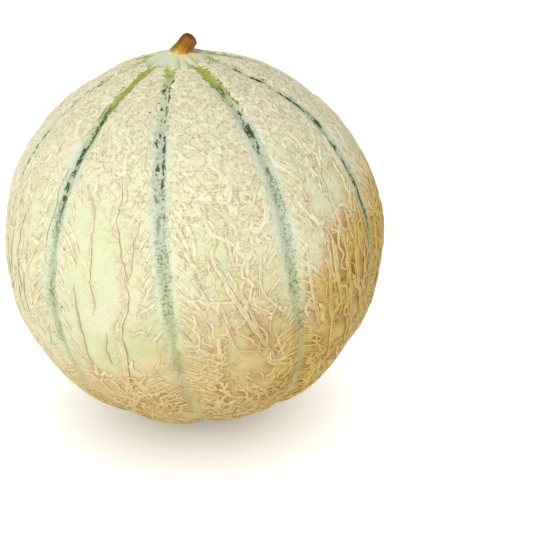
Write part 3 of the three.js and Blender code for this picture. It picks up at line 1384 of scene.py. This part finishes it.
    def split(self, rng: np.random.Generator, split: Split) -> Ridges:
        """A long split with a groove down its back.

        Formula: its share of the half lobe changes evenly from end to end, with a sway of
        waves; its width is a flattened half sine of its length, with swells.

        Args:
            rng: Source of chance.
            split: The split.

        Returns:
            One grooved ridge.
        """
        equator = self.skin.growth.equator
        ends = np.radians([split.top, split.bottom]) * equator
        steps = int((ends[1] - ends[0]) / (1.0 * MM)) + 4
        t = np.linspace(0.0, 1.0, steps)
        y = ends[0] + (ends[1] - ends[0]) * t
        lobe = self.skin.sutures.half_lobe(y / equator)
        sway = 0.5 * MM * waves(rng, y[:, None], 20 * MM) + 0.14 * MM * waves(rng, y[:, None], 6 * MM)
        x = (split.share + (split.end_share - split.share) * t) * lobe + sway
        swell = 1.0 + 0.14 * waves(rng, y[:, None], 7 * MM)
        half_width = 1.2 * split.half_width * np.sin(math.pi * np.clip(t, 0.03, 0.97)) ** 0.45 * swell
        height = 0.55 * MM * (half_width / split.half_width) ** 0.7
        return Ridges(x[None], y[None], half_width[None], height[None], Section.GROOVED)

    def random_splits(self, rng: np.random.Generator, count: int) -> list[Split]:
        """Splits at random places, side by side across the lobe.

        Args:
            rng: Source of chance.
            count: How many.

        Returns:
            The splits.
        """
        shares = np.linspace(-0.75, 0.75, count) if count > 1 else np.zeros(count)
        shares = shares + rng.uniform(-0.1, 0.1, count)
        tops = rng.uniform(50, 84, count)
        ends = tops + rng.uniform(18, 56, count)
        drift = rng.uniform(-0.14, 0.14, count)
        widths = rng.uniform(0.7, 1.2, count) * MM
        return [Split(s, a, s + g, b, w) for s, a, g, b, w in zip(shares, tops, drift, ends, widths)]

    def families(self, rng: np.random.Generator, habit: Habit) -> list[Ridges]:
        """All the ridges of one lobe.

        Args:
            rng: Source of chance.
            habit: How its net has grown.

        Returns:
            Ridges, kind by kind.
        """
        equator = self.skin.growth.equator
        reach = math.pi * equator
        end = math.radians(habit.shoulder_end) * equator

        fine = self.web(rng, self.web_top, end + 16 * MM, 3.5 * MM, 1.1, 5)
        staying = 0.92 - 0.92 * smooth_step(fine.y.mean(1), end - 26 * MM, end + 12 * MM)
        fine = self.sized(rng, self.thinned(rng, fine, habit, staying), *self.fine_size)

        finer = self.web(rng, self.web_top, end + 10 * MM, 2.5 * MM, 1.0, 4)
        staying = 0.55 - 0.5 * smooth_step(finer.y.mean(1), end - 30 * MM, end + 6 * MM)
        finer = self.sized(rng, self.thinned(rng, finer, habit, staying), *self.finer_size)

        flank, stretch, slant = self.flank_end, habit.stretch, habit.slant
        coarse = self.web(rng, end - 30 * MM, flank, 4.8 * MM, stretch, 8, slant, 0.75)
        coarse = self.sized(rng, self.opened(rng, coarse, habit, 0.85), *self.coarse_size, 0.36)

        slight = self.web(rng, end - 24 * MM, flank, 3.4 * MM, 0.8 * stretch, 6, slant, 0.7)
        slight = self.sized(rng, self.opened(rng, slight, habit, 0.36), *self.slight_size)

        foot = self.web(rng, self.foot_top, reach - 5 * MM, 4.0 * MM, 1.5, 6)
        staying = 0.85 * smooth_step(foot.y.mean(1), self.foot_top - 2 * MM, 166 * MM)
        foot = self.sized(rng, self.thinned(rng, foot, habit, staying), *self.foot_size)

        blossom = self.web(rng, reach - 58 * MM, reach - 5 * MM, 2.5 * MM, 1.3, 5)
        staying = 0.6 * smooth_step(blossom.y.mean(1), reach - 58 * MM, reach - 40 * MM)
        blossom = self.sized(rng, self.thinned(rng, blossom, habit, staying), *self.blossom_size)

        ribs = self.ribs(rng, *self.rib_band, self.rib_pitch, self.rib_reach)
        shares = np.array([0.92, 0.12])
        ribs = [self.thinned(rng, kind, habit, share) for kind, share in zip(ribs, shares)]
        ribs = [self.sized(rng, kind, *self.rib_size, 0.3) for kind in ribs]

        long = [*habit.splits, *self.random_splits(rng, habit.random_splits)]
        healed = [self.split(rng, one) for one in long]
        return [fine, finer, coarse, slight, foot, blossom, *ribs, *healed]

    def opened(self, rng: np.random.Generator, ridges: Ridges, habit: Habit, share: float) -> Ridges:
        """Thins a web of the flank: on the shoulder, beside the sutures and where a lobe is open.

        Args:
            rng: Source of chance.
            ridges: The web.
            habit: How the lobe's net has grown.
            share: How much of it stays where nothing thins it.

        Returns:
            What stays of it.
        """
        end = math.radians(habit.shoulder_end) * self.skin.growth.equator
        y = ridges.y.mean(1)
        middle = 1.0 - np.abs(ridges.x.mean(1)) / np.maximum(self.half_room(y), 1 * MM)
        bare = habit.openness * smooth_step(middle, 0.12, 0.4)
        bare = bare * smooth_step(y, end - 16 * MM, end + 10 * MM) * smooth_step(y, 158 * MM, 140 * MM)
        beside = 0.85 * smooth_step(middle, 0.5, 0.2) * smooth_step(y, 64 * MM, 84 * MM)
        staying = share * (1.0 - np.maximum(bare, beside)) * smooth_step(y, end - 28 * MM, end + 2 * MM)
        return self.thinned(rng, ridges, habit, staying)

    @staticmethod
    def faces(steps: int, sides: int) -> tuple[Array, Array, Array, Array]:
        """The faces of one ridge's body, and their places on a square of the bake map.

        Formula: quads between neighbouring points along it and round it, then triangles to
        the tip before its first point and to the one after its last.

        Args:
            steps: Points along the ridge.
            sides: Points round its section.

        Returns:
            The vertex of each corner, the face sizes, and the corners' u and v.
        """
        n, k = np.meshgrid(np.arange(steps - 1), np.arange(sides), indexing="ij")
        here, ahead, wrap = n * sides, (n + 1) * sides, (k + 1) % sides
        quads = np.stack([here + k, ahead + k, ahead + wrap, here + wrap], -1)
        around = np.arange(sides)
        beyond = (around + 1) % sides
        last, tip = (steps - 1) * sides, steps * sides
        start = np.stack([np.full(sides, tip), around, beyond], -1)
        finish = np.stack([np.full(sides, tip + 1), last + beyond, last + around], -1)
        u = 0.1 + 0.8 * np.stack([n, n + 1, n + 1, n], -1) / (steps - 1)
        v = np.stack([k, k, k + 1, k + 1], -1) / sides
        tip_u = np.tile([0.0, 0.1, 0.1], sides)
        start_v = np.stack([around + 0.5, around, around + 1.0], -1) / sides
        finish_v = np.stack([around + 0.5, around + 1.0, around], -1) / sides
        return (
            np.concatenate([quads.ravel(), start.ravel(), finish.ravel()]),
            np.repeat([4, 3], [n.size, 2 * sides]),
            np.concatenate([u.ravel(), tip_u, 1.0 - tip_u]),
            np.concatenate([v.ravel(), start_v.ravel(), finish_v.ravel()]),
        )

    @staticmethod
    def mapped(u: Array, v: Array, paths: int, steps: int, cell: tuple[float, float]) -> Array:
        """Many ridges laid out in rows on a strip of the bake map.

        Args:
            u: Place of one ridge's corners along its own square.
            v: Their place up it.
            paths: How many ridges there are.
            steps: Points along each.
            cell: Lowest and highest v of the strip.

        Returns:
            A u and a v for each corner of each ridge.
        """
        low, high = cell
        shape = max(steps / 6, 0.5) * max((high - low) * 3, 0.1)
        columns = max(1, int(math.sqrt(paths / shape)))
        rows = math.ceil(paths / columns)
        path = np.arange(paths)[:, None]
        strip_u = (path % columns + 0.05 + 0.9 * u) / columns
        strip_v = low + (high - low) * (path // columns + 0.05 + 0.9 * v) / rows
        return np.stack([strip_u.ravel(), strip_v.ravel()], -1)

    def ribbons(
        self, rng: np.random.Generator, lobe: int, ridges: Ridges, cell: tuple[float, float]
    ) -> Mesh:
        """Ridges as closed bodies: their section carried along each path, closed to a tip at its ends.

        Formula: vertex = skin + side x share of half width + normal x share of height, where
        side is normal x heading. Lobe x becomes longitude in proportion between its sutures.

        Args:
            rng: Source of chance.
            lobe: Which lobe they lie on.
            ridges: The ridges.
            cell: Lowest and highest v of the strip of the bake map that they fill.

        Returns:
            Their surface with its marks.
        """
        skin, equator = self.skin, self.skin.growth.equator
        fall = ridges.y / equator
        share = 0.5 + 0.5 * ridges.x / self.skin.sutures.half_lobe(fall)
        left = skin.sutures.longitude(np.array(float(lobe)), fall)
        right = skin.sutures.longitude(np.array(float(lobe + 1)), fall)
        longitude = left + share * (right - left)
        section = np.array(ridges.section.value)
        lengths = np.gradient(ridges.y, axis=1) ** 2 + np.gradient(ridges.x, axis=1) ** 2
        trace = (longitude, fall, ridges.half_width, np.sqrt(lengths))
        self.traces.append(np.stack([values.ravel() for values in trace]))
        centre, normal = skin.point(longitude, fall), skin.normal(longitude, fall)
        heading = unit(np.gradient(centre, axis=1))
        side = unit(np.cross(normal, heading))
        paths, steps, sides = *fall.shape, len(section)
        ring = centre[:, :, None] + (
            side[:, :, None] * (ridges.half_width[..., None] * section[:, 0])[..., None]
            + normal[:, :, None] * (ridges.height[..., None] * section[:, 1])[..., None]
        )
        pull = 0.9 * ridges.half_width[:, [0, -1], None] * np.array([-1.0, 1.0])[:, None]
        tips = centre[:, [0, -1]] + pull * heading[:, [0, -1]]
        tips = tips - 0.3 * ridges.height[:, [0, -1], None] * normal[:, [0, -1]]
        vertices = np.concatenate([ring.reshape(paths, -1, 3), tips], 1)
        vertices[..., 2] = np.maximum(vertices[..., 2], 0.0)

        corners, sizes, local_u, local_v = self.faces(steps, sides)
        count = steps * sides + 2
        first = np.arange(paths)[:, None] * count

        tone = rng.random((paths, 1))
        away = np.abs(skin.sutures.nearest(longitude, fall)[0])
        edge = np.abs(section[:, 0])
        groove = (ridges.section is Section.GROOVED) * (edge < 0.1)
        marks = {
            "edge": np.concatenate([np.tile(edge, steps), [1.0, 1.0]]) + 0.0 * tone,
            "groove": np.concatenate([np.tile(groove, steps), [0.0, 0.0]]) + 0.0 * tone,
            "tone": np.tile(tone, count),
            "along": np.concatenate([np.repeat(ridges.y, sides, 1), ridges.y[:, [0, -1]]], 1),
            "away": np.concatenate([np.repeat(away, sides, 1), away[:, [0, -1]]], 1),
        }
        return Mesh(
            vertices.reshape(-1, 3),
            (first + corners).ravel(),
            np.tile(sizes, paths),
            self.mapped(local_u, local_v, paths, steps, cell),
            {key: value.ravel() for key, value in marks.items()},
        )

    def build(self) -> None:
        """Makes the net, lobe by lobe."""
        material = self.finish.material()
        for lobe, habit in enumerate(self.habits()):
            rng = np.random.default_rng([self.seed, lobe])
            families = [ridges for ridges in self.families(rng, habit) if len(ridges.x)]
            areas = np.array([(r.half_width.sum() + 2 * MM) for r in families])
            borders = np.concatenate([[0.0], np.cumsum(areas) / areas.sum()])
            parts = [
                self.ribbons(rng, lobe, ridges, (borders[i], borders[i + 1]))
                for i, ridges in enumerate(families)
            ]
            made = Mesh.joined(parts).piece(f"net_lobe_{lobe + 1:02d}", material)


@dataclass(frozen=True)
class StemFinish:
    """Dried stem: straw green at its foot, amber, then brown towards the cut end."""

    straw: Colour = tint(216, 192, 102)
    amber: Colour = tint(196, 136, 24)
    brown: Colour = tint(154, 100, 34)
    dark: Colour = tint(92, 58, 26)
    star: Colour = tint(214, 216, 178)

    def material(self) -> bpy.types.Material:
        """Builds the finish.

        Returns:
            The material.
        """
        bench = Bench("stem_dry")
        up = bench.mark("up")
        place = bench.place()
        east, north = bench.mark("east"), bench.mark("north")
        streak = bench.noise(bench.vector(east, north, bench.number("MULTIPLY", up, 0.6)), 0.3, 3.0)
        shifted = bench.scaled(bench.number("SUBTRACT", streak, 0.5), 0.4, up)
        colour = bench.blend(bench.rise(shifted, 0.14, 0.34), self.star, self.straw)
        colour = bench.blend(bench.rise(shifted, 0.36, 0.54), colour, self.amber)
        colour = bench.blend(bench.rise(shifted, 0.56, 0.84), colour, self.brown)
        mottle = bench.rise(bench.noise(place, 1.3 * MM, 3.0, 0.6), 0.52, 0.7, 0.8)
        colour = bench.blend(bench.product(mottle, bench.rise(up, 0.45, 0.9)), colour, self.dark)
        back = bench.scaled(bench.number("SUBTRACT", streak, 0.5), 0.8, east)
        aged = bench.product(bench.rise(back, -0.25, -0.85, 0.75), bench.rise(up, 0.1, 0.34))
        colour = bench.blend(aged, colour, self.dark)
        colour = bench.blend(bench.mark("hollow"), colour, self.dark)
        fibres = bench.noise(bench.vector(east, north, bench.number("MULTIPLY", up, 0.1)), 0.07, 2.0)
        fibrous = bench.bump(fibres, 0.3 * MM)
        rough = bench.bump(bench.noise(place, 0.6 * MM, 3.0, 0.6), 0.2 * MM, fibrous)
        return bench.surface(
            {"Base Color": colour, "Roughness": 0.62, "Specular IOR Level": 0.25, "Normal": rough}
        )


@dataclass
class Stem:
    """The stub of the stem, cut and dried, leaning from the crown."""

    growth: Growth
    finish: StemFinish = StemFinish()
    height: float = 6.2 * MM
    reach: float = 4.2 * MM
    foot_radius: float = 5.3 * MM
    tip_radius: float = 2.75 * MM
    seat: float = 0.3 * MM
    ribs: int = 5
    around: int = 120
    rings: int = 90

    def route(self, t: Array) -> tuple[Array, Array]:
        """The stem's middle line in the growth frame, before it is turned to its side.

        Formula: a quadratic curve that leaves the crown upright and ends leaning outwards.

        Args:
            t: 0 at the foot, 1 at the cut end.

        Returns:
            Points and unit headings.
        """
        bend = np.array([0.0, 0.0, self.height / 4])
        tip = np.array([self.reach, 0.0, self.height])
        t = t[..., None]
        return 2 * t * (1 - t) * bend + t * t * tip, unit(2 * (1 - t) * bend + 2 * t * (tip - bend))

    def surface(self) -> Mesh:
        """The stem as a section carried along its middle line and closed by a dished end.

        Formula: its radius is tip + (foot - tip) (1 - t)^1.5, with a swelling below the cut
        end and ribs of cos(5 turn) and finer harmonics. The last fifth of the rings folds
        over the rim into the dish.

        Returns:
            The surface with its marks.
        """
        turn = 2 * math.pi * np.arange(self.around) / self.around
        rows = np.linspace(0.0, 1.0, self.rings)
        t = np.minimum(rows / 0.8, 1.0)
        fold = np.maximum(rows - 0.8, 0.0) / 0.2
        radius = self.tip_radius + (self.foot_radius - self.tip_radius) * (1 - t) ** 1.5
        radius = radius + 0.3 * MM * np.exp(-(((t - 0.92) / 0.16) ** 2))
        rim = np.cos(fold * math.pi / 2) ** 0.85
        radius = radius * np.where(fold > 0, rim, 1.0)
        dish = 1.3 * MM * np.sin(fold * math.pi / 2) - 0.7 * MM * smooth_step(fold, 0.55, 1.0)
        turns, ts = np.meshgrid(turn, t)
        ribbed = 1 + 0.055 * np.cos(self.ribs * turns + 0.6) + 0.03 * np.cos(11 * turns + 2 + 3 * ts)
        ribbed = ribbed + 0.018 * np.cos(23 * turns + 9 * ts)
        ragged = 0.14 * MM * (np.cos(3 * turns + 1) + 0.6 * np.cos(7 * turns))
        ragged = ragged * np.sin(fold * math.pi)[:, None]
        centre, heading = self.route(ts)
        out = radius[:, None] * ribbed
        side = np.stack([heading[..., 2], np.zeros_like(ts), -heading[..., 0]], -1)
        lifted = (dish[:, None] + ragged)[..., None] * heading
        points = centre + side * (out * np.cos(turns))[..., None] + lifted
        points[..., 1] += out * np.sin(turns)
        growth = self.growth
        cos, sin = math.cos(growth.stem_towards), math.sin(growth.stem_towards)
        x, y, z = np.moveaxis(points, -1, 0)
        x, z = x + growth.stem_aside, z + growth.pole + self.seat
        placed = np.stack([x * cos - y * sin, x * sin + y * cos, z], -1)
        tips = np.stack([placed[0].mean(0), placed[-1].mean(0)])
        marks = {
            "up": (ts, [0.0, 1.0]),
            "east": (np.cos(turns), [0.0, 0.0]),
            "north": (np.sin(turns), [0.0, 0.0]),
            "hollow": (0.6 * smooth_step(fold, 0.6, 0.95)[:, None] + 0 * turns, [0.0, 1.0]),
        }
        v = 0.05 + 0.9 * rows
        return Mesh.closed(growth.to_row(placed), growth.to_row(tips), v, True, marks)

    def build(self) -> None:
        """Makes the stem, which stands for the plain one."""
        made = self.surface().piece("stem_stub", self.finish.material())
        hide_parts("stem")


@dataclass(frozen=True)
class FloorFinish:
    """Plain pale studio floor, which glows a little of itself."""

    colour: Colour = tint(243, 243, 243)
    glow: Colour = (1.0, 1.0, 1.0)
    glow_strength: float = 0.22

    def material(self) -> bpy.types.Material:
        """Builds the finish.

        Returns:
            The material.
        """
        bench = Bench("studio_floor")
        glow = {"Emission Color": self.glow, "Emission Strength": self.glow_strength}
        return bench.surface({"Base Color": self.colour, "Roughness": 0.7, **glow})


class Lit(Enum):
    """What a lamp lights, as the link state that it gives the floor."""

    FLOOR_ALONE = "INCLUDE"
    ALL_BUT_FLOOR = "EXCLUDE"


@dataclass
class Studio:
    """The camera, the lights and the floor."""

    growth: Growth
    elevation: float = math.radians(22)
    distance: float = 7.0  # in equator radii
    lens: float = 87.0
    aside: float = 0.3986  # the fruit is left of the view's middle by this many radii
    above: float = 0.188  # and above it by this many
    floor_reach: float = 6.0
    daylight: float = 0.46
    key_from: tuple[float, float] = (-29, 45)  # turn from the camera's side to +X, and rise, degrees
    key_softness: float = 8.0
    key_strength: float = 2.12
    sky_from: tuple[float, float] = (0, 90)
    sky_softness: float = 140.0
    sky_strength: float = 3.0

    def middle(self) -> Vector:
        """The fruit's centre."""
        return Vector((0.0, 0.0, self.growth.centre))

    def camera(self) -> None:
        """Puts the camera in front of the fruit, looking down at it."""
        back = Vector((0.0, -math.cos(self.elevation), math.sin(self.elevation)))
        up = Vector((0.0, math.sin(self.elevation), math.cos(self.elevation)))
        radius = self.growth.equator
        data = bpy.data.cameras.new("camera")
        data.lens = self.lens
        data.sensor_width = 36.0
        data.clip_start = 0.01
        seen_from = bpy.data.objects.new("camera", data)
        seen_from.location = self.middle() + back * self.distance * radius
        target = self.middle() + radius * (self.aside * Vector((1, 0, 0)) - self.above * up)
        seen_from.rotation_euler = (target - seen_from.location).to_track_quat("-Z", "Y").to_euler()
        bpy.context.scene.collection.objects.link(seen_from)
        bpy.context.scene.camera = seen_from

    def sun(
        self, name: str, towards: tuple[float, float], softness: float, strength: float, lit: Lit
    ) -> None:
        """Adds distant light, either for the floor alone or for everything but the floor.

        Args:
            name: Its name.
            towards: Where it comes from, in degrees: turn from the camera's side to +X, and rise.
            softness: Its width as seen from the fruit, in degrees.
            strength: Its strength in watts per square metre.
            lit: What it lights.
        """
        turned, raised = np.radians(towards)
        data = bpy.data.lights.new(name, "SUN")
        data.angle = math.radians(softness)
        data.energy = strength
        made = bpy.data.objects.new(name, data)
        level = math.cos(raised)
        place = Vector((math.sin(turned) * level, -math.cos(turned) * level, math.sin(raised)))
        made.rotation_euler = (-place).to_track_quat("-Z", "Y").to_euler()
        made.location = self.middle() + place
        bpy.context.scene.collection.objects.link(made)
        linked = bpy.data.collections.new(f"{name}_floor")
        linked.objects.link(bpy.data.objects["floor"])
        made.light_linking.receiver_collection = linked
        linked.collection_objects[0].light_linking.link_state = lit.value

    def floor(self) -> None:
        """Lays the floor just under the fruit."""
        reach = self.floor_reach
        corners = [(-reach, -reach), (reach, -reach), (reach, reach), (-reach, reach)]
        data = bpy.data.meshes.new("floor")
        data.from_pydata([(x, y, -0.05 * MM) for x, y in corners], [], [(0, 1, 2, 3)])
        data.materials.append(FloorFinish().material())
        made = bpy.data.objects.new("floor", data)
        bpy.context.scene.collection.objects.link(made)

    def build(self) -> None:
        """Sets up everything around the fruit but the camera."""
        scene = bpy.context.scene
        scene.view_settings.view_transform = "Standard"
        world = bpy.data.worlds.new("daylight")
        world.use_nodes = True
        background = world.node_tree.nodes["Background"]
        background.inputs["Color"].default_value = (1.0, 1.0, 1.0, 1.0)
        background.inputs["Strength"].default_value = self.daylight
        scene.world = world
        self.floor()
        self.sun("key", self.key_from, self.key_softness, self.key_strength, Lit.ALL_BUT_FLOOR)
        self.sun("sky_on_floor", self.sky_from, self.sky_softness, self.sky_strength, Lit.FLOOR_ALONE)


def main() -> None:
    """Builds the melon and its studio."""
    growth = Growth.of_fruit()
    studio = Studio(growth)
    studio.camera()
    skin = Skin(growth, Sutures(growth))
    net = CorkNet(skin)
    net.build()
    Rind(skin).build(np.concatenate(net.traces, axis=1))
    Stem(growth).build()
    studio.build()


if __name__ == "__main__":
    main()
